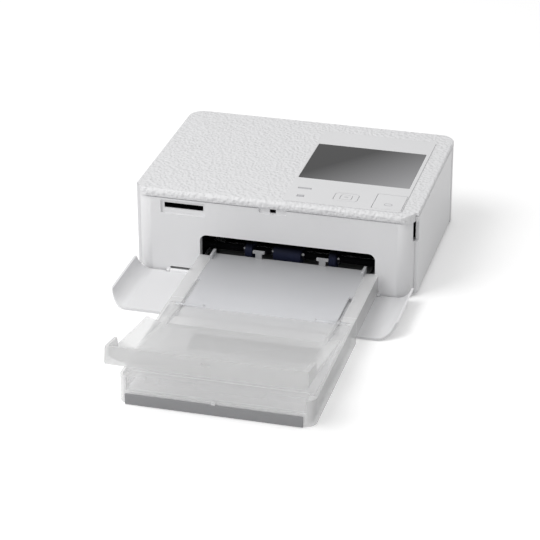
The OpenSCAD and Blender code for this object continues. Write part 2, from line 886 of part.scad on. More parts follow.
module heat_sink() {
  color(metal) {
    box(roll_x0 - 1, roll_x1 + 1, plat_y - 5, plat_y + 5, nip_z + 4, nip_z + 6.5);
    for (y = [-5, -1, 3])
      box(roll_x0 - 1, roll_x1 + 1, plat_y + y, plat_y + y + 2, nip_z + 6.5, nip_z + 13);
    // lugs in the slots of the frames
    box(frame_x0 - 0.3, roll_x0 + 1, plat_y - 2.9, plat_y + 2.9, lug_z + gap, lug_z + gap + lug_h);
    box(roll_x1 - 1, frame_x1 + frame_t + 0.3, plat_y - 2.9, plat_y + 2.9, lug_z + gap, lug_z + gap + lug_h);
  }
}

module cartridge_shell() {
  color([0.30, 0.31, 0.34])
    difference() {
      union() {
        for (y = [supply_y, takeup_y])
          xrod(tube_r, cart_x0, cart_x1, y, spool_z);
        // grip at the outer end, and the bars that join the tubes
        box(frame_x1 + frame_t + 2.5, cart_x1, supply_y, takeup_y, spool_z - 2, spool_z + tube_r);
        box(cart_x0, cart_x0 + 2.5, supply_y, takeup_y, spool_z + 10.3 - 1.6, spool_z + tube_r);
      }
      for (y = [supply_y, takeup_y])
        xrod(tube_r - 1.4, cart_x0 + 1.6, cart_x1 - 1.6, y, spool_z);
      // mouths that the film runs through
      box(roll_x0, roll_x1, supply_y, supply_y + tube_r + 1, nip_z - 2, nip_z + 1.6);
      box(roll_x0, roll_x1, takeup_y - tube_r - 1, takeup_y - 6, spool_z + 1.5, spool_z + 7);
      xrod(4.2, cart_x0 - 1, cart_x0 + 3, supply_y, spool_z);
      xrod(4.6, cart_x0 - 1, cart_x0 + 3, takeup_y, spool_z);
      // finger hollow in the grip
      box(frame_x1 + frame_t + 4.5, cart_x1 - 2, supply_y + tube_r + 4, takeup_y - tube_r - 4,
        spool_z, spool_z + tube_r + 1);
    }
}

module spool(y, r, bore, sides) {
  difference() {
    union() {
      xrod(r, cart_x0 + 2, roll_x1 + 2, y, spool_z);
      xrod(bore + 1.1, cart_x0 + 3.4, cart_x1 - 2, y, spool_z);
    }
    translate([cart_x0 - 2, y, spool_z])
      rotate([0, 90, 0])
        cylinder(r = bore, h = 14, $fn = sides);
  }
}

module supply_spool() {
  color([0.16, 0.15, 0.18])
    spool(supply_y, 8.2, 2.7, 64);
}

module takeup_spool() {
  color([0.16, 0.15, 0.18])
    spool(takeup_y, 5.4, 3.4, 6);
}

module ribbon_film() {
  rise_y = plat_y + 5.3;
  color([0.25, 0.2, 0.22])
    along_x(roll_x0 + 1, roll_x1 - 1)
      polygon([[supply_y + 7, nip_z + 0.2], [rise_y, nip_z + 0.2], [takeup_y - 8.9, spool_z + 4],
        [takeup_y - 9, spool_z + 4.15], [rise_y - 0.05, nip_z + 0.35], [supply_y + 7, nip_z + 0.35]]);
}

module eject_lever() {
  color([0.55, 0.57, 0.60])
    difference() {
      union() {
        box(frame_x1 + frame_t + 0.2, frame_x1 + frame_t + 2.2, lever_y - 4, lever_y + 4, lever_z - 18, lever_z);
        box(frame_x1 + frame_t + 2, frame_x1 + frame_t + 9, lever_y - 3, lever_y + 3, lever_z - 14, lever_z - 11.5);
      }
      // slot that runs on the screw
      along_x(frame_x1, frame_x1 + 6)
        rrect(lever_y - 1.7, lever_y + 1.7, lever_z - 11.2, lever_z - 2, 1.6);
    }
}

module lever_screws() {
  color(metal) {
    xrod(1.3, frame_x1 + frame_t, frame_x1 + frame_t + 2.6, lever_y, lever_z - 3.6);
    xrod(2.8, frame_x1 + frame_t + 2.5, frame_x1 + frame_t + 3.4, lever_y, lever_z - 3.6);
  }
}

// ---------- ink door ----------

module ink_door() {
  color(white)
    difference() {
      union() {
        translate([0, 0, door_z0])
          linear_extrude(shell_top - gap - door_z0)
            intersection() {
              difference() {
                plan(0);
                plan(wall);
              }
              translate([half_w - 7, step_y])
                square([8, door_axis_y - step_y]);
            }
        zrod(knuckle_r, door_x, door_axis_y, floor_z1 + gap, shell_top - gap);
        // snap hook behind the front edge
        box(half_w - wall - 5, half_w - wall + 0.3, y_front + 22.5, y_front + 24.1, 20, 28);
        box(half_w - wall - 5, half_w - wall - 3.4, y_front + 21.1, y_front + 24.1, 20, 28);
      }
      // finger slit
      box(half_w - 8, half_w + 1, y_front, step_y + 1.6, rim_z - 13.2, rim_z);
      // room for the knuckle of the chassis
      zrod(knuckle_r + gap, door_x, door_axis_y, 0, floor_z1 + gap);
      // bores for the pins
      zrod(pin_r + run, door_x, door_axis_y, 0, floor_z1 + 5);
      zrod(pin_r + run, door_x, door_axis_y, shell_top - 5, shell_top + 1);
    }
}

module door_pins() {
  color(metal) {
    zrod(pin_r, door_x, door_axis_y, floor_z0 + 0.2, floor_z1 + 4.7);
    zrod(pin_r, door_x, door_axis_y, shell_top - 4.8, shell_top + 1.2);
  }
}

// ---------- front flap ----------

module flap_section() {
  translate([-corner_x, y_front])
    square([2 * corner_x, flap_t]);
  for (s = [-1, 1])
    intersection() {
      translate([s * corner_x, -corner_y])
        difference() {
          circle(corner_r);
          circle(corner_r - flap_t);
        }
      translate([s > 0 ? corner_x - 0.1 : -half_w - 1, y_front - 1])
        square([corner_r + 1.1, wrap_y - y_front + 1]);
    }
}

module front_flap() {
  flap_top = body_h - 0.3;
  color(white)
    translate([0, flap_axis_y, flap_axis_z])
      rotate([90, 0, 0])
        translate([0, -flap_axis_y, -flap_axis_z]) {
          difference() {
            union() {
              intersection() {
                translate([0, 0, flap_axis_z])
                  linear_extrude(flap_top - flap_axis_z)
                    flap_section();
                along_y(y_front - 1, 0)
                  union() {
                    rrect(-half_w, half_w, 10, flap_top, flap_r);
                    translate([-half_w, 0])
                      square([body_w, 30]);
                  }
              }
              xrod(barrel_r, -flap_barrel, flap_barrel, flap_axis_y, flap_axis_z);
            }
            // room for the ears of the front panel
            for (s = [-1, 1])
              box(s * (flap_barrel + 1.2) - 1.2, s * (flap_barrel + 1.2) + 1.2, y_front - 1,
                -corner_y, 0, flap_axis_z + 1.9);
            for (s = [-1, 1])
              box(s > 0 ? flap_barrel + 1 : -half_w, s > 0 ? half_w : -flap_barrel - 1, y_front - 1,
                -corner_y, 0, flap_axis_z + 0.6);
            // holes that the pins are pressed into
            for (s = [-1, 1])
              xrod(pin_r, s * flap_barrel - 4, s * flap_barrel + 4, flap_axis_y, flap_axis_z);
          }
          // low catch that enters the hole in the front
          box(-1.9, 1.3, y_front + flap_t - 0.2, y_front + flap_t + 1.2, 49.3, 51);
        }
}

module flap_pins() {
  color(metal)
    for (s = [-1, 1])
      xrod(pin_r, s > 0 ? flap_barrel - 4 : -flap_barrel - 2.3, s > 0 ? flap_barrel + 2.3 : 4 - flap_barrel,
        flap_axis_y, flap_axis_z);
}

// ---------- keys ----------

module stem(x, y, w, d) {
  box(x - w, x + w, y - d, y + d, board_z + board_t + switch_h + key_travel + 0.1, seat_z + 0.3);
}

module power_key() {
  color([0.62, 0.63, 0.65]) {
    box(key_x - 4, key_x + 4, key_ya - 0.8, key_ya + 0.8, seat_z + key_travel + 0.1, body_h);
    box(key_x - 2.2, key_x + 2.2, key_ya - 0.7, key_ya + 0.7, seat_z - 0.2, seat_z + key_travel + 0.1);
    stem(key_x, key_ya, 1.2, 0.7);
  }
}

module menu_key() {
  color([0.62, 0.63, 0.65]) {
    box(key_x - 2, key_x + 2, key_yb - 1.2, key_yb + 1.2, seat_z + key_travel + 0.1, body_h);
    box(key_x - 1.8, key_x + 1.8, key_yb - 0.7, key_yb + 0.7, seat_z - 0.2, seat_z + key_travel + 0.1);
    stem(key_x, key_yb, 1.2, 0.7);
  }
}

module dpad_key() {
  color([0.93, 0.93, 0.94])
    difference() {
      union() {
        plate(dpad_x - 7.5, dpad_x + 7.5, dpad_y - 5.5, dpad_y + 5.5, seat_z + key_travel + 0.1, body_h, 2.6);
        plate(dpad_x - 6.2, dpad_x + 6.2, dpad_y - 4.2, dpad_y + 4.2, seat_z - 1.2, seat_z + key_travel + 0.2, 1.6);
      }
      plate(dpad_x - 3.8, dpad_x + 3.8, dpad_y - 3.5, dpad_y + 3.5, rim_z, body_h + 1, 1.4);
    }
}

module ok_key() {
  color([0.95, 0.95, 0.96]) {
    plate(dpad_x - 3.5, dpad_x + 3.5, dpad_y - 3.2, dpad_y + 3.2, seat_z - 1.2, body_h, 1.2);
    box(dpad_x - 1.2, dpad_x + 1.2, dpad_y - 1.2, dpad_y + 1.2,
      board_z + board_t + switch_h + key_travel + 0.1, seat_z - 1.1);
  }
}

module print_key() {
  px = (print_x0 + print_x1) / 2;
  py = (print_y0 + print_y1) / 2;
  color([0.93, 0.93, 0.94]) {
    box(print_x0, print_x1, print_y0, print_y1, seat_z + key_travel + 0.1, body_h);
    box(px - 5, px + 5, py - 5, py + 5, seat_z - 0.2, seat_z + key_travel + 0.2);
    stem(px, py, 1.4, 1.4);
  }
}

// ---------- paper cassette ----------

// flat rails beside the inner lid, between two places
module tray_rails(y0, y1) {
  for (x = [tray_x0 + tray_t, tray_x1 - rail_w])
    box(x - 0.2, x + rail_w - tray_t + 0.2, y0, y1, tray_top - 1.4, tray_top);
}

// lower front half of the tray
module tray_base() {
  color(frost) {
    difference() {
      // rounded front corners
      plate(tray_x0, tray_x1, tray_y0, tray_step + 8, tray_low, tray_top, 6);
      box(tray_x0 - 1, tray_x1 + 1, tray_step, tray_step + 9, -1, tray_top + 1);
      // hollow
      plate(tray_x0 + tray_t, tray_x1 - tray_t, tray_y0 + tray_t, tray_step - tray_t,
        tray_low + tray_t, tray_top + 1, 4.4);
      box(tray_x0 + tray_t, tray_x1 - tray_t, tray_step - 9, tray_step + 1, tray_z1 + tray_t, tray_top + 1);
      // front opened between the corner posts for the sloping apron
      box(tray_x0 + 5, tray_x1 - 5, tray_y0 - 1, tray_y0 + 3, apron_z - 2, tray_top + 1);
    }
    difference() {
      union() {
        tray_rails(deck_y1, tray_step);
        // webs that hold the lid pins
        for (x = [tray_x0 + rail_w - 1.6, tray_x1 - rail_w])
          box(x, x + 1.6, lid_y - 2.4, lid_y + 3, tray_top - 4, tray_top - 1.3);
      }
      xrod(lid_pin_r + run, tray_x0 + tray_t, tray_x1 - tray_t, lid_y, lid_z);
    }
  }
}

// raised rear half, over the open flap
module tray_rear() {
  color(frost) {
    difference() {
      box(tray_x0, tray_x1, tray_step, tray_in, tray_z1, tray_top);
      box(tray_x0 + tray_t, tray_x1 - tray_t, tray_step - 1, tray_in - tray_t, tray_z1 + tray_t, tray_top + 1);
      box(nose_x0 + tray_t, nose_x1 - tray_t, tray_in - 4, tray_in + 1, tray_z1 + tray_t, tray_top + 1);
    }
    tray_rails(tray_step, tray_in - 0.5);
    // grooves that the arms of the outer lid lie in
    for (x = [tray_x0 + rail_w - 1.6, tray_x1 - rail_w - 3])
      box(x, x + 4.6, tray_step, lid_y + lid_s0 + 3, tray_top - 4.4, tray_top - 3.6);
    for (x = [tray_x0 + rail_w - 1.6, tray_x1 - rail_w])
      box(x, x + 1.6, tray_step, lid_y + lid_s0 + 3, tray_top - 4.4, tray_top - 1.2);
  }
}

// nose that goes into the printer
module tray_nose() {
  color(frost)
    difference() {
      box(nose_x0, nose_x1, tray_in, tray_y1, tray_z1, nose_top);
      box(nose_x0 + tray_t, nose_x1 - tray_t, tray_in - 1, tray_y1 - tray_t, tray_z1 + tray_t, tray_top + 1);
      box(nose_x0 + 6, nose_x1 - 6, tray_y1 - 3, tray_y1 + 1, tray_z1 + tray_t + 2.6, tray_top + 1);
    }
}

module tray_deck() {
  color(frost)
    difference() {
      union() {
        box(tray_x0 + tray_t, tray_x1 - tray_t, apron_y, deck_y1 - gap, tray_top - 1.4, tray_top);
        // apron that slopes down to the front
        along_x(tray_x0 + 5.3, tray_x1 - 5.3)
          polygon([[apron_y + 0.3, tray_top], [apron_y - 3.5, tray_top - 0.9], [apron_y - 6.6, tray_top - 3.2],
            [tray_y0 + 0.6, apron_z - 1.7], [tray_y0 + 2.2, apron_z - 1.7], [apron_y - 5.4, tray_top - 4.2],
            [apron_y - 3, tray_top - 2.3], [apron_y + 0.3, tray_top - 1.4]]);
      }
      // slots that the arms of the outer lid lie in
      for (x = [arm_x0 - gap, arm_x1 - arm_t - gap])
        box(x, x + arm_t + 2 * gap, lid_y - 16.5, deck_y1 + 1, tray_top - 3, tray_top + 1);
    }
}

module front_bar() {
  color([0.60, 0.61, 0.63])
    box(tray_x0 + 4.3, tray_x1 - 6.5, tray_y0 - 1.2, tray_y0, tray_low, bar_top);
}

module stop_block() {
  color([0.72, 0.73, 0.75])
    difference() {
      box(-24, 55, stop_y0, stop_y1, tray_low + tray_t, 9);
      box(-22.4, 53.4, stop_y0 + 1.6, stop_y1 - 1.6, tray_low, 7.4);
    }
}

module lift_plate() {
  lift_y = y_front - 38.5;
  color([0.2, 0.2, 0.22]) {
    box(nose_x0 + tray_t + 4, nose_x1 - tray_t - 4, lift_y, tray_y1 - tray_t - 3, tray_z1 + tray_t + 0.5,
      tray_z1 + tray_t + 1.3);
    xrod(0.7, nose_x0 + tray_t + 4, nose_x1 - tray_t - 4, lift_y, tray_z1 + tray_t + 0.9);
  }
}

module inner_lid() {
  wide_x0 = tray_x0 + rail_w + gap;
  wide_x1 = tray_x1 - rail_w - gap;
  near_x0 = wide_x0 + arm_t + gap;
  near_x1 = wide_x1 - arm_t - gap;
  color(frost) {
    difference() {
      union() {
        box(near_x0, near_x1, lid_y - 2.2, inner_y1, tray_top - 1.4, tray_top);
        box(wide_x0, wide_x1, lid_y + lid_s0 + 3, inner_y1, tray_top - 1.4, tray_top);
        // knuckles on the hinge line
        for (x = [near_x0, near_x1 - 12])
          xrod(1.6, x, x + 12, lid_y, lid_z);
      }
      for (x = [near_x0, near_x1 - 12])
        xrod(lid_pin_r + run, x - 1, x + 13, lid_y, lid_z);
    }
    // T-shaped finger tabs on the free edge
    for (x = [-9.1, 32]) {
      box(x - 2, x + 2, inner_y1 - 1.6, inner_y1, tray_top - 0.2, 21.4);
      box(x - 3.7, x + 3.7, inner_y1 - 1.6, inner_y1, 20.7, 22.3);
    }
    // upstands at both ends of the free edge
    for (x = [wide_x0, wide_x1 - 1.6])
      box(x, x + 1.6, inner_y1 - 9, inner_y1, tray_top - 0.2, 20);
  }
}

module lid_pins() {
  color(metal)
    for (x = [arm_x0 - gap - 3, arm_x1 - arm_t - 5])
      xrod(lid_pin_r, x, x + 10 + gap, lid_y, lid_z);
}

module outer_lid() {
  side_top = -lid_drop + 4.6;
  color(frost)
    at_lid()
      difference() {
        union() {
          // flat panel with sloping sides
          along_y(-lid_len + 0.5, -lid_s0)
            polygon([[lid_x0, side_top], [lid_x0, side_top - 2], [lid_x0 + lid_slope, -lid_drop],
              [lid_x1 - lid_slope, -lid_drop], [lid_x1, side_top - 2], [lid_x1, side_top],
              [lid_x1 - 1, side_top], [lid_x1 - lid_slope - 0.6, -lid_drop + lid_t],
              [lid_x0 + lid_slope + 0.6, -lid_drop + lid_t], [lid_x0 + 1, side_top]]);
          // ears at the lip
          for (x = [lid_x0, lid_x1 - lid_t])
            along_x(x, x + lid_t)
              polygon([[-lid_len + 0.5, -lid_drop + 1], [-lid_len + 0.5, lip_h - lid_drop],
                [-lid_len + 17, lip_h - lid_drop], [-lid_len + 20, side_top - 1.5]]);
          // end lip with rounded lower corners
          along_y(-lid_len, -lid_len + lid_t)
            rrect(lid_x0, lid_x1, -lid_drop, lip_h - lid_drop, 1.2);
          // arms to the hinge line
          for (x = [arm_x0, arm_x1 - arm_t])
            along_x(x, x + arm_t)
              union() {
                circle(2);
                polygon([[0, -1.2], [-lid_s0 + 4, -1.6], [-lid_s0 - 4, -lid_drop + 0.5],
                  [-lid_s0 - 12, -lid_drop + 0.5], [-lid_s0 + 2, 1], [0, 1.2]]);
              }
        }
        // catch recess in the lip
        box(lid_x - 2.5, lid_x + 2.5, -lid_len - 1, -lid_len + 0.8, lip_h - lid_drop - 4.5,
          lip_h - lid_drop - 2.5);
        for (x = [arm_x0, arm_x1 - arm_t])
          xrod(lid_pin_r + run, x - 1, x + arm_t + 1, 0, 0);
      }
}

bottom_chassis();
outer_shell();
front_panel();
top_cover();
control_panel();
lcd_window();
lcd_module();
main_board();
tact_switches();
card_reader();
dc_inlet();
usb_port();
rubber_feet();
case_screws();
left_frame();
right_frame();
gear_plate();
idler_posts();
feed_motor();
ribbon_motor();
feed_pinion();
idler_gear_a();
idler_gear_b();
capstan_roller();
capstan_gear();
pinch_roller();
platen_roller();
pickup_shaft();
pickup_rollers();
pickup_clips();
pickup_gear();
ribbon_pinion();
ribbon_gear();
thermal_head();
heat_sink();
cartridge_shell();
supply_spool();
takeup_spool();
ribbon_film();
eject_lever();
lever_screws();
ink_door();
door_pins();
front_flap();
flap_pins();
power_key();
menu_key();
dpad_key();
ok_key();
print_key();
tray_base();
tray_rear();
tray_nose();
tray_deck();
front_bar();
stop_block();
lift_plate();
inner_lid();
lid_pins();
outer_lid();
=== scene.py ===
"""Compact photo printer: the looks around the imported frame. Metres, +Z up, -Y to the front."""

import math

import bmesh
import bpy
from mathutils import Matrix, Vector


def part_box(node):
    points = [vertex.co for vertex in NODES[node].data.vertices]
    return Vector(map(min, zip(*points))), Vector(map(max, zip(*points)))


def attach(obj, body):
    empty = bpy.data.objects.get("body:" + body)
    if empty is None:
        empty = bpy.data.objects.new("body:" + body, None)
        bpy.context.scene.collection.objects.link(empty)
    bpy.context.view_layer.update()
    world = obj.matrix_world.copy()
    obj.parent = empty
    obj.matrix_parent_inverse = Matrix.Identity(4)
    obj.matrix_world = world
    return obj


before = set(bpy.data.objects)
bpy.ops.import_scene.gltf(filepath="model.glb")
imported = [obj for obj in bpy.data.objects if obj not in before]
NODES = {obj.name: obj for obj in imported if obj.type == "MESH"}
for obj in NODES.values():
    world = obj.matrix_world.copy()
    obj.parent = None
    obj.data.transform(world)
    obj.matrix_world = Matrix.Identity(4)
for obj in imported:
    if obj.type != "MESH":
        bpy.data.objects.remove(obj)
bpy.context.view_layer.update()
MM = 0.001

# ---------- node helpers ----------


def new_tree(name):
    """An empty material and its node tree."""
    mat = bpy.data.materials.new(name)
    mat.use_nodes = True
    tree = mat.node_tree
    tree.nodes.clear()
    return mat, tree


def grey(value):
    return (value, value, value, 1.0)


def add(tree, kind, sockets=None, **settings):
    """A new shader node with its settings and the values of its sockets."""
    made = tree.nodes.new("ShaderNode" + kind)
    for name, value in settings.items():
        setattr(made, name, value)
    for socket, value in (sockets or {}).items():
        made.inputs[socket].default_value = value
    return made


def find(tree, kind):
    """The first node of a type."""
    return next(n for n in tree.nodes if n.type == kind)


def spread(tree, source, first, last, low=0.0, high=1.0):
    """Maps `source` from low..high to first..last, and stays at the ends beyond them."""
    span = add(tree, "MapRange",
               {"From Min": low, "From Max": high, "To Min": first, "To Max": last})
    tree.links.new(source, span.inputs["Value"])
    return span.outputs["Result"]


def multiplied(tree, colour, factor):
    """A colour times a factor."""
    mix = add(tree, "Mix", data_type="RGBA", blend_type="MULTIPLY")
    mix.inputs["Factor"].default_value = 1.0
    tree.links.new(colour, mix.inputs["A"])
    tree.links.new(factor, mix.inputs["B"])
    return mix.outputs["Result"]


def object_axes(tree):
    """Outputs X, Y and Z of the object's own coordinates, in metres."""
    split = add(tree, "SeparateXYZ")
    tree.links.new(find(tree, "TEX_COORD").outputs["Object"], split.inputs["Vector"])
    return split.outputs


# ---------- materials ----------

CLOUD_SCALE = 28.0      # cloudy colour, per metre
GLOSS_VARIES = 0.15     # share by which the roughness varies
GRAIN_DEPTH = 0.0002    # metres


def plastic(name, colour, rough=0.4, grain=0.25, vary=0.03, bump=0.03, **fixed):
    """Moulded plastic or metal: cloudy colour, uneven gloss and a grain of `grain` millimetres."""
    mat, tree = new_tree(name)
    links = tree.links
    out = add(tree, "OutputMaterial")
    shader = add(tree, "BsdfPrincipled",
                 {socket.replace("_", " "): value for socket, value in fixed.items()})
    links.new(shader.outputs["BSDF"], out.inputs["Surface"])
    place = add(tree, "TexCoord")
    cloud = add(tree, "TexNoise", {"Scale": CLOUD_SCALE, "Detail": 3.0})
    links.new(place.outputs["Object"], cloud.inputs["Vector"])
    tint = add(tree, "Mix", data_type="RGBA")
    tint.inputs["A"].default_value = [c * (1 - vary) for c in colour] + [1.0]
    tint.inputs["B"].default_value = [min(1.0, c * (1 + vary)) for c in colour] + [1.0]
    links.new(cloud.outputs["Fac"], tint.inputs["Factor"])
    links.new(tint.outputs["Result"], shader.inputs["Base Color"])
    gloss = spread(tree, cloud.outputs["Fac"], rough * (1 - GLOSS_VARIES),
                   min(1.0, rough * (1 + GLOSS_VARIES)))
    links.new(gloss, shader.inputs["Roughness"])
    fine = add(tree, "TexNoise", {"Scale": 1.0 / (grain * MM), "Detail": 2.0})
    links.new(place.outputs["Object"], fine.inputs["Vector"])
    relief = add(tree, "Bump", {"Strength": bump, "Distance": GRAIN_DEPTH})
    links.new(fine.outputs["Fac"], relief.inputs["Height"])
    links.new(relief.outputs["Normal"], shader.inputs["Normal"])
    return mat


EMBOSS_DEPTH = 0.0008       # metres
EMBOSS_WARP = 0.0022        # share of noise in the place, which pushes the cells about
EMBOSS_WARP_RATE = 0.35     # how fast that noise varies against the cells


def embossed(name, colour, pitch):
    """White plastic with a fine embossed pattern of wavy ridges, `pitch` millimetres apart."""
    mat = plastic(name, colour, rough=0.5, vary=0.012)
    tree = mat.node_tree
    links = tree.links
    place = find(tree, "TEX_COORD")
    warp = add(tree, "TexNoise", {"Scale": EMBOSS_WARP_RATE / (pitch * MM)})
    links.new(place.outputs["Object"], warp.inputs["Vector"])
    shift = add(tree, "Mix", data_type="VECTOR")
    shift.inputs["Factor"].default_value = EMBOSS_WARP
    links.new(place.outputs["Object"], shift.inputs["A"])
    links.new(warp.outputs["Color"], shift.inputs["B"])
    cells = add(tree, "TexVoronoi", {"Scale": 1.0 / (pitch * MM), "Smoothness": 0.6},
                feature="SMOOTH_F1")
    links.new(shift.outputs["Result"], cells.inputs["Vector"])
    relief = add(tree, "Bump", {"Strength": 1.0, "Distance": EMBOSS_DEPTH})
    links.new(cells.outputs["Distance"], relief.inputs["Height"])
    links.new(relief.outputs["Normal"], find(tree, "BSDF_PRINCIPLED").inputs["Normal"])
    return mat


# painted reflection on the display glass, from dark at the back left to light at the front right
SCREEN_DARK = (0.012, 0.012, 0.013, 1.0)
SCREEN_REFLECTION = (0.34, 0.34, 0.35, 1.0)
SCREEN_ACROSS = 0.6         # share of the change that runs to the right, the rest to the front
SCREEN_DARK_UNTIL = 0.35    # part of the change that stays dark


def display_glass_painted_reflection(name, low, high):
    """Dark glass over a display, with a painted reflection that grows lighter towards its front
    right corner.
    """
    mat = plastic(name, (0.05, 0.05, 0.055), rough=0.08, vary=0.0, bump=0.0, IOR=1.4)
    tree = mat.node_tree
    axes = object_axes(tree)
    both = add(tree, "Math")
    tree.links.new(spread(tree, axes["X"], 0.0, SCREEN_ACROSS, low[0], high[0]), both.inputs[0])
    tree.links.new(spread(tree, axes["Y"], 0.0, 1.0 - SCREEN_ACROSS, high[1], low[1]),
                   both.inputs[1])
    ramp = add(tree, "ValToRGB")
    dark, light = ramp.color_ramp.elements
    dark.color = SCREEN_DARK
    dark.position = SCREEN_DARK_UNTIL
    light.color = SCREEN_REFLECTION
    tree.links.new(both.outputs["Value"], ramp.inputs["Fac"])
    tree.links.new(ramp.outputs["Color"], find(tree, "BSDF_PRINCIPLED").inputs["Base Color"])
    return mat


MILK_SCALE = 18.0       # cloudiness of the frosted pieces, per metre
MILK_VARIES = 0.03      # by how much it changes the opacity
RIM_OPACITY = 0.3       # what a face seen edge-on gains in opacity
GLOW_SHARE = 0.35       # light that passes on scattered


def frosted(name, colour, opacity, along=(0.0, 1.0), ramp=(1.0, 1.0), front=0.0, painted_right_shade=0.7,
            tint=1.0):
    """Frosted clear plastic with a cloud in it.

    Between the two places of `along`, metres from front to back, its tint changes by `ramp`: a
    painted shade on the inner lid towards the printer, a darker lip on the outer lid. Its opacity
    loses `front`. Faces turned to the right are darkened by `painted_right_shade`, a painted shade,
    and light that goes straight through is cut to `tint`.
    """
    mat = plastic(name, colour, rough=0.3, vary=0.02, bump=0.02)
    tree = mat.node_tree
    links = tree.links
    shader = find(tree, "BSDF_PRINCIPLED")
    base = find(tree, "MIX").outputs["Result"]
    depth = object_axes(tree)["Y"]
    facing = add(tree, "NewGeometry")
    turned = add(tree, "SeparateXYZ")
    links.new(facing.outputs["Normal"], turned.inputs["Vector"])
    # the tint along the depth by `ramp`, then a painted shade on faces turned to the right
    shade = multiplied(tree, base, spread(tree, depth, *ramp, *along))
    shade = multiplied(tree, shade, spread(tree, turned.outputs["X"], 1.0, painted_right_shade))
    links.new(shade, shader.inputs["Base Color"])
    # opacity: cloud, edge-on gain and the denser front
    milk = add(tree, "TexNoise", {"Scale": MILK_SCALE})
    links.new(find(tree, "TEX_COORD").outputs["Object"], milk.inputs["Vector"])
    cloud = spread(tree, milk.outputs["Fac"], opacity - MILK_VARIES, opacity + MILK_VARIES)
    rim = add(tree, "LayerWeight", {"Blend": 0.2})
    whole = add(tree, "Math", {1: RIM_OPACITY}, operation="MULTIPLY_ADD")
    links.new(rim.outputs["Facing"], whole.inputs[0])
    links.new(cloud, whole.inputs[2])
    cover = add(tree, "Math", use_clamp=True)
    links.new(whole.outputs["Value"], cover.inputs[0])
    links.new(spread(tree, depth, front, 0.0, *along), cover.inputs[1])
    # some light passes on as a glow, some goes straight through
    glow = add(tree, "BsdfTranslucent")
    links.new(shade, glow.inputs["Color"])
    body = add(tree, "MixShader", {"Fac": GLOW_SHARE})
    links.new(shader.outputs["BSDF"], body.inputs[1])
    links.new(glow.outputs["BSDF"], body.inputs[2])
    clear = add(tree, "BsdfTransparent", {"Color": grey(tint)})
    through = add(tree, "MixShader")
    links.new(cover.outputs["Value"], through.inputs["Fac"])
    links.new(clear.outputs["BSDF"], through.inputs[1])
    links.new(body.outputs["Shader"], through.inputs[2])
    links.new(through.outputs["Shader"], find(tree, "OUTPUT_MATERIAL").inputs["Surface"])
    return mat


def shaded(name, colour, rough, low, high, dark=0.02, axis="Z", gloss=0.15):
    """A piece whose colour fades to `dark` of itself between two places on an axis, in metres."""
    mat = plastic(name, colour, rough=rough, Specular_IOR_Level=gloss)
    tree = mat.node_tree
    base = find(tree, "MIX").outputs["Result"]
    fade = spread(tree, object_axes(tree)[axis], 1.0, dark, low, high)
    tree.links.new(multiplied(tree, base, fade), find(tree, "BSDF_PRINCIPLED").inputs["Base Color"])
    return mat


WHITE = (0.80, 0.80, 0.81)
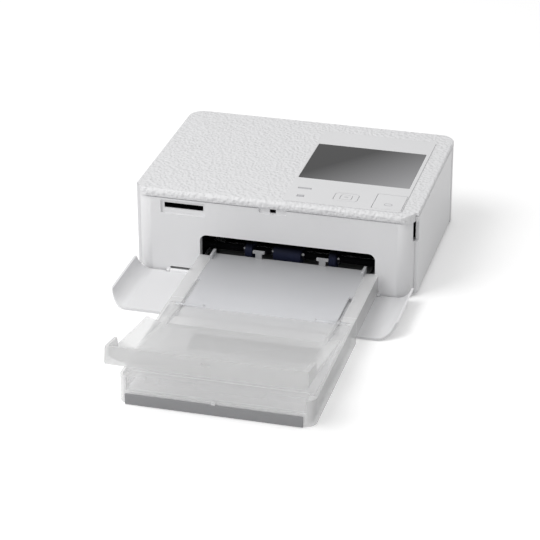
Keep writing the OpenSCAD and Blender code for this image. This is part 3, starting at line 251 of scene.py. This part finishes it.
# painted shade darkens the inner lid between these two places, towards the back under the printer
LID_SHADE_SPAN = (-0.12, -0.062)      # where the inner lid goes in under the printer's front
LIP = (-0.214, -0.209)          # where the outer lid's lip turns into its plate
MATERIALS = {
    "case": plastic("white_case", WHITE, rough=0.38),
    "top": embossed("white_embossed", WHITE, 2.2),
    "panel": plastic("white_panel", (0.765, 0.765, 0.775), rough=0.3, bump=0.01),
    "glass": display_glass_painted_reflection("display_glass_painted_reflection", *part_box("lcd_window")),
    "frost": frosted("frosted_clear", (0.98, 0.98, 0.985), 0.38, painted_right_shade=0.58),
    # the tray's nose inside the printer: its dark tint is a painted shade
    "frost_nose": frosted("frosted_nose_shaded", (0.30, 0.30, 0.31), 0.42),
    # bevel colours of the frosted pieces: a painted highlight, and a painted shade for the outer
    # lid
    "frost_glint_edge": plastic("frosted_edge_highlight", (0.95, 0.95, 0.96), rough=0.25),
    "flip_edge_shade": plastic("flip_edge_shade", (0.42, 0.42, 0.43), rough=0.3),
    "frost_deck": frosted("frosted_deck", (0.97, 0.97, 0.975), 0.24),
    "frost_lid": frosted("frosted_lid", (0.86, 0.865, 0.885), 0.62, LID_SHADE_SPAN, (1.0, 0.76)),
    "frost_flip": frosted("frosted_flip", (0.98, 0.98, 0.985), 0.24, LIP, (0.84, 1.0),
                          front=0.16, tint=0.95),
    "bar": plastic("grey_bar", (0.30, 0.30, 0.31), rough=0.45),
    "stop": shaded("grey_stop", (0.70, 0.70, 0.71), 0.5, 0.0084, 0.0088, dark=0.06),
    # painted shade: the lift plate darkens towards the back, inside the printer
    "plate": shaded("lift_grey_shaded", (0.42, 0.42, 0.43), 0.5, -0.074, -0.05, dark=0.45, axis="Y",
                    gloss=0.05),
    # painted shade: the white chassis turns black above its floor, inside the printer
    "chassis": shaded("white_chassis_shaded", (0.75, 0.75, 0.76), 0.5, 0.0024, 0.0027, dark=0.006,
                      gloss=0.0),
    "mark": plastic("grey_mark", (0.50, 0.50, 0.52), rough=0.4),
    "steel": plastic("steel", (0.55, 0.56, 0.58), rough=0.32, Metallic=1.0),
    # black-painted steel inside the printer, made darker than paint and without gloss so the slots
    # read black: partly painted shade
    "dark_steel": plastic("dark_frame", (0.006, 0.006, 0.007), rough=0.7, Specular_IOR_Level=0.0),
    # painted shade: the rollers turn black towards their tops, under the slot's top wall
    "navy": shaded("navy_rubber_shaded", (0.016, 0.02, 0.048), 0.55, 0.0185, 0.0215),
    "black": plastic("black_plastic", (0.012, 0.012, 0.013), rough=0.45),
    "gear": plastic("gear_white", (0.62, 0.62, 0.57), rough=0.4),
    # painted shade: the clips turn black towards their tops, like the rollers under the slot's top
    "clip": shaded("clip_dark", (0.02, 0.02, 0.024), 0.5, 0.016, 0.02),
    "rib": plastic("light_tab", (0.72, 0.72, 0.73), rough=0.35),
    # white of the painted glints on the roller collars
    "collar_glint": plastic("white_glint", (0.85, 0.85, 0.85), rough=0.3),
    "board": plastic("board_green", (0.02, 0.10, 0.04), rough=0.4),
    "key": plastic("key_grey", (0.50, 0.50, 0.52), rough=0.4),
    "lever": plastic("lever_grey", (0.16, 0.17, 0.19), rough=0.4),
    "foot": plastic("foot_rubber", (0.03, 0.03, 0.032), rough=0.7),
    "ceramic": plastic("ceramic", (0.55, 0.54, 0.50), rough=0.25),
    "ink": plastic("ink_grey", (0.035, 0.035, 0.04), rough=0.4),
    "film": plastic("ribbon_dark", (0.02, 0.014, 0.012), rough=0.15),
    "spool": plastic("spool_grey", (0.5, 0.5, 0.5), rough=0.4),
}

NODE_LOOKS = {
    "case": "outer_shell front_panel ink_door front_flap",
    "top": "top_cover",
    "panel": "control_panel print_key ok_key dpad_key",
    "glass": "lcd_window",
    "frost": "tray_base tray_rear",
    "frost_nose": "tray_nose",
    "frost_deck": "tray_deck",
    "frost_lid": "inner_lid",
    "frost_flip": "outer_lid",
    "bar": "front_bar",
    "steel": "right_frame gear_plate idler_posts case_screws lever_screws door_pins flap_pins"
             " lid_pins capstan_roller heat_sink feed_motor ribbon_motor usb_port tact_switches",
    "dark_steel": "left_frame pickup_shaft card_reader pinch_roller",
    "navy": "pickup_rollers platen_roller",
    "black": "lcd_module dc_inlet",
    "stop": "stop_block",
    "plate": "lift_plate",
    "chassis": "bottom_chassis",
    "gear": "feed_pinion idler_gear_a idler_gear_b capstan_gear pickup_gear ribbon_pinion"
            " ribbon_gear",
    "clip": "pickup_clips",
    "board": "main_board",
    "key": "power_key menu_key",
    "lever": "eject_lever",
    "foot": "rubber_feet",
    "ceramic": "thermal_head",
    "ink": "cartridge_shell",
    "film": "ribbon_film",
    "spool": "supply_spool takeup_spool",
}

# rounding of the edges in millimetres
PLAIN_EDGE_MM = 0.12
EDGE_MM = {"outer_shell": 0.35, "front_panel": 0.35, "top_cover": 0.3, "ink_door": 0.35,
           "front_flap": 0.4, "tray_base": 0.4, "outer_lid": 0.4, "inner_lid": 0.5,
           "tray_deck": 0.3, "front_bar": 0.3}

# frosted pieces whose rounded edges show painted light: light lines of painted highlight, and dark
# lines of painted shade on the outer lid
EDGE_LOOKS = {"frost": "frost_glint_edge", "frost_deck": "frost_glint_edge", "frost_lid": "frost_glint_edge",
              "frost_flip": "flip_edge_shade"}


def soften(obj, width):
    """Rounds the sharp edges of a solid by `width` millimetres and returns the bevel."""
    weld = obj.modifiers.new("weld", "WELD")
    weld.merge_threshold = 1e-6
    flat = obj.modifiers.new("flat", "DECIMATE")
    flat.decimate_type = "DISSOLVE"
    flat.angle_limit = math.radians(0.3)
    bevel = obj.modifiers.new("bevel", "BEVEL")
    bevel.width = width * MM
    bevel.segments = 2
    bevel.limit_method = "ANGLE"
    bevel.angle_limit = math.radians(38)
    bevel.harden_normals = True
    return bevel


for look, names in NODE_LOOKS.items():
    for name in names.split():
        node = NODES[name]
        node.data.materials.clear()
        node.data.materials.append(MATERIALS[look])
        bevel = soften(node, EDGE_MM.get(name, PLAIN_EDGE_MM))
        if look in EDGE_LOOKS:
            node.data.materials.append(MATERIALS[EDGE_LOOKS[look]])
            bevel.material = 1

# ---------- small pieces on the CAD nodes ----------


def placed(name, build, turn, look, body):
    """Turns a bmesh into a piece that rides on a body."""
    mesh = bpy.data.meshes.new(name)
    build.to_mesh(mesh)
    build.free()
    piece = bpy.data.objects.new(name, mesh)
    bpy.context.scene.collection.objects.link(piece)
    piece.matrix_world = turn
    mesh.materials.append(MATERIALS[look])
    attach(piece, body)
    return piece


def solid_of(name, outline, thick, turn, look, body, edge):
    """A flat piece: `outline` in millimetres in the local XY plane, raised by `thick`."""
    build = bmesh.new()
    face = build.faces.new([build.verts.new((x * MM, y * MM, 0)) for x, y in outline])
    grown = bmesh.ops.extrude_face_region(build, geom=[face])
    tops = [v for v in grown["geom"] if isinstance(v, bmesh.types.BMVert)]
    bmesh.ops.translate(build, verts=tops, vec=(0, 0, thick * MM))
    bmesh.ops.recalc_face_normals(build, faces=build.faces)
    soften(placed(name, build, turn, look, body), edge)


def ring_of(name, outer, inner, thick, turn, look, body):
    """A flat frame between two outlines with the same number of points."""
    build = bmesh.new()
    rows = []
    for outline, height in ((outer, 0), (outer, thick), (inner, thick), (inner, 0)):
        rows.append([build.verts.new((x * MM, y * MM, height * MM)) for x, y in outline])
    for row, following in zip(rows, rows[1:] + rows[:1]):
        for i, start in enumerate(row):
            j = (i + 1) % len(row)
            build.faces.new((start, row[j], following[j], following[i]))
    bmesh.ops.recalc_face_normals(build, faces=build.faces)
    placed(name, build, turn, look, body)


def bead(name, place, radius, look, body):
    """A small round bead at a place in millimetres; here, a painted glint."""
    build = bmesh.new()
    bmesh.ops.create_uvsphere(build, u_segments=16, v_segments=10, radius=radius * MM)
    centre = Matrix.Translation([c * MM for c in place])
    piece = placed(name, build, centre, look, body)
    for face in piece.data.polygons:
        face.use_smooth = True


def at(x, y, z, tilt_x=0.0):
    """A place in millimetres, with a tilt about X in degrees."""
    return (Matrix.Translation(Vector((x, y, z)) * MM)
            @ Matrix.Rotation(math.radians(tilt_x), 4, "X"))


CORNER_STEPS = 5


def rounded(w, h, r):
    """A rounded rectangle around the origin, with its size and radius in millimetres."""
    points = []
    for cx, cy, start in ((w / 2 - r, h / 2 - r, 0), (r - w / 2, h / 2 - r, 90),
                          (r - w / 2, r - h / 2, 180), (w / 2 - r, r - h / 2, 270)):
        for i in range(CORNER_STEPS + 1):
            a = math.radians(start + 90 * i / CORNER_STEPS)
            points.append((cx + r * math.cos(a), cy + r * math.sin(a)))
    return points


def middle(name):
    """Middle of a node's box and its top, in millimetres."""
    low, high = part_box(name)
    return [(low[i] + high[i]) / 2 / MM for i in range(3)], high[2] / MM


# generic marks on the keys, half sunk: name, key, offset along Y from the key's middle, outer and
# inner outline, in millimetres
MARK_T = 0.06
MARKS = (
    ("print_mark", "print_key", -4, rounded(5.4, 3.4, 1.6), rounded(4.2, 2.2, 1.0)),
    ("ok_mark", "ok_key", 0, rounded(2.6, 1.2, 0.5), rounded(1.8, 0.5, 0.2)),
)
for mark, key, offset_y, outer, inner in MARKS:
    (key_x, key_y, _), key_top = middle(key)
    ring_of(mark, outer, inner, MARK_T, at(key_x, key_y + offset_y, key_top - MARK_T / 2),
            "mark", key + "_body")

# small rib on the tray's front, standing on the grey bar
RIB_W, RIB_H, RIB_R, RIB_T = 2.6, 1.6, 0.4, 1.0
RIB_BACK, RIB_SUNK, RIB_EDGE = 0.6, 0.05, 0.08
(bar_x, bar_y, _), bar_top = middle("front_bar")
solid_of("front_rib", rounded(RIB_W, RIB_H, RIB_R), RIB_T,
         at(bar_x, bar_y + RIB_BACK, bar_top + RIB_H / 2 - RIB_SUNK, tilt_x=90),
         "rib", "cassette", RIB_EDGE)

# painted highlights: small white beads for the glints on the collars of the pick-up rollers: place
# along the shaft and radius, and how far they stand in front of the shaft and above it, in
# millimetres
COLLAR_GLINTS = ((-21.5, 0.7), (-3.1, 0.7), (16.6, 1.0), (39.5, 0.7))
COLLAR_GLINT_FORWARD, COLLAR_GLINT_UP = 2.5, 1.5
(_, shaft_y, shaft_z), _ = middle("pickup_shaft")
for number, (glint_x, glint_r) in enumerate(COLLAR_GLINTS):
    bead("knob_%d" % number, (glint_x, shaft_y - COLLAR_GLINT_FORWARD, shaft_z + COLLAR_GLINT_UP), glint_r,
         "collar_glint", "pickup")

# ---------- camera ----------

AZIMUTH = math.radians(14.419)
ELEVATION = math.radians(26.037)
ROLL = math.radians(0.132)
DISTANCE = 1.44589
FOCAL_PX = 2204.0
FRAME_PX = 540
CENTRE_SHIFT_PX = (28.3, -28.7)
SENSOR_MM = 36.0

back = Vector((math.sin(AZIMUTH) * math.cos(ELEVATION), -math.cos(AZIMUTH) * math.cos(ELEVATION),
               math.sin(ELEVATION)))
right = Vector((0, 0, 1)).cross(back).normalized()
up = back.cross(right)
right, up = (right * math.cos(ROLL) + up * math.sin(ROLL),
             up * math.cos(ROLL) - right * math.sin(ROLL))
camera_data = bpy.data.cameras.new("camera")
camera = bpy.data.objects.new("camera", camera_data)
bpy.context.scene.collection.objects.link(camera)
turn = Matrix((right, up, back)).transposed().to_4x4()
camera.matrix_world = Matrix.Translation(back * DISTANCE) @ turn
camera_data.sensor_width = SENSOR_MM
camera_data.lens = SENSOR_MM * FOCAL_PX / FRAME_PX
camera_data.shift_x = -CENTRE_SHIFT_PX[0] / FRAME_PX
camera_data.shift_y = CENTRE_SHIFT_PX[1] / FRAME_PX
camera_data.clip_end = 50
bpy.context.scene.camera = camera

# ---------- floor, world and lamps ----------

FLOOR_SIZE = 14
FLOOR_GREY = 0.75       # what the floor sends back onto the object
FLOOR_LIFT = 0.22       # what brings the floor to white where it is seen
WORLD_STRENGTH = 0.57
# name, place, point it aims at, width and height, power in watts
LAMPS = (
    ("key", (-0.9, -0.7, 1.5), (0, 0, 0), (1.2, 1.2), 17),
    ("side", (-0.75, -0.75, 0.45), (0, -0.05, 0.03), (0.5, 0.5), 0.9),
    ("top", (0.1, 0.4, 1.6), (0, 0, 0), (1.4, 1.0), 1.8),
    ("front", (0.15, -1.6, 0.7), (0, 0, 0), (1.2, 0.7), 1.3),
    ("right", (1.4, -0.3, 0.8), (0, 0, 0), (0.8, 0.8), 0.5),
)


def white_stage(tree, lit, seen):
    """Lights the object as `lit` does, and shows `seen` to the camera, in gloss and in glass."""
    path = add(tree, "LightPath")
    looked_at = path.outputs["Is Camera Ray"]
    for ray in ("Is Glossy Ray", "Is Transmission Ray"):
        either = add(tree, "Math", operation="MAXIMUM")
        tree.links.new(looked_at, either.inputs[0])
        tree.links.new(path.outputs[ray], either.inputs[1])
        looked_at = either.outputs["Value"]
    mix = add(tree, "MixShader")
    tree.links.new(looked_at, mix.inputs["Fac"])
    tree.links.new(lit, mix.inputs[1])
    tree.links.new(seen, mix.inputs[2])
    return mix.outputs["Shader"]


def make_floor():
    """A pale floor that keeps the object's shadow."""
    bpy.ops.mesh.primitive_plane_add(size=FLOOR_SIZE)
    floor = bpy.context.object
    floor.name = "floor"
    mat, tree = new_tree("pale_floor")
    lit = add(tree, "BsdfDiffuse", {"Color": grey(FLOOR_GREY)})
    bright = add(tree, "BsdfDiffuse", {"Color": grey(1.0)})
    lift = add(tree, "Emission", {"Strength": FLOOR_LIFT})
    both = add(tree, "AddShader")
    tree.links.new(bright.outputs["BSDF"], both.inputs[0])
    tree.links.new(lift.outputs["Emission"], both.inputs[1])
    out = add(tree, "OutputMaterial")
    surface = white_stage(tree, lit.outputs["BSDF"], both.outputs["Shader"])
    tree.links.new(surface, out.inputs["Surface"])
    floor.data.materials.append(mat)


def make_world():
    """Even light from all round, white where it is seen."""
    world = bpy.data.worlds.new("studio")
    bpy.context.scene.world = world
    world.use_nodes = True
    tree = world.node_tree
    tree.nodes.clear()
    lit = add(tree, "Background", {"Strength": WORLD_STRENGTH})
    white = add(tree, "Background", {"Strength": 1.0})
    out = add(tree, "OutputWorld")
    surface = white_stage(tree, lit.outputs["Background"], white.outputs["Background"])
    tree.links.new(surface, out.inputs["Surface"])


def softbox(name, place, aim, size, power):
    """A rectangular soft lamp that aims at a point."""
    data = bpy.data.lights.new(name, "AREA")
    data.shape = "RECTANGLE"
    data.size, data.size_y = size
    data.energy = power
    lamp = bpy.data.objects.new(name, data)
    bpy.context.scene.collection.objects.link(lamp)
    lamp.location = place
    lamp.rotation_euler = (Vector(aim) - Vector(place)).to_track_quat("-Z", "Y").to_euler()


make_floor()
make_world()
for lamp in LAMPS:
    softbox(*lamp)

bpy.context.scene.view_settings.view_transform = "Standard"
